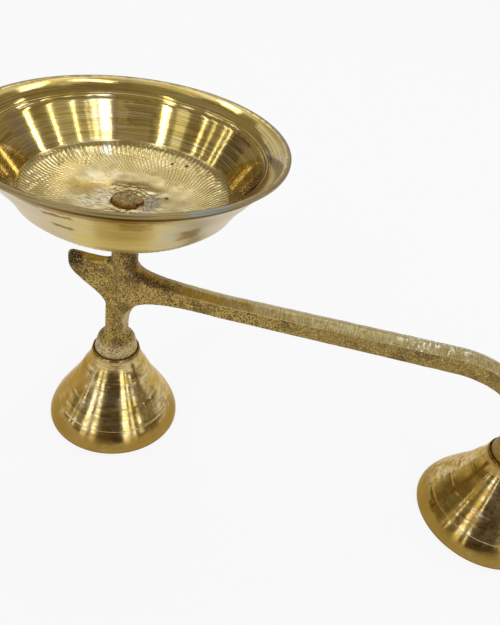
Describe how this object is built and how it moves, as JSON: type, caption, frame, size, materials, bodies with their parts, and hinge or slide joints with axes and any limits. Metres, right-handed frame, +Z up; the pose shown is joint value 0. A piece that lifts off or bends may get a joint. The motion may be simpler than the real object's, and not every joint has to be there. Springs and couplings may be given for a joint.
{
  "type": "handled incense burner",
  "caption": "Turned brass bowl on a cast handle with a bell foot under the bowl and another at the handle's far end, for carrying burning incense or resin.",
  "frame": {"origin": "on the table under the middle of the whole burner, half way between the bowl's rim and the rear foot's edge", "axes": "+X along the handle from the bowl to the rear foot, +Z up from the table, +Y across the handle"},
  "size_m": [0.2252, 0.1, 0.1197],
  "materials": {
    "bowl_brass": "turned and lightly tarnished, fine lathe lines",
    "cast_brass": "sand cast sides, filed bevels",
    "foot_brass": "turned, satin"
  },
  "bodies": {
    "root": {"bowl": "bowl_brass", "handle_casting": "cast_brass", "front_foot": "foot_brass", "rear_foot": "foot_brass"}
  },
  "joints": []
}
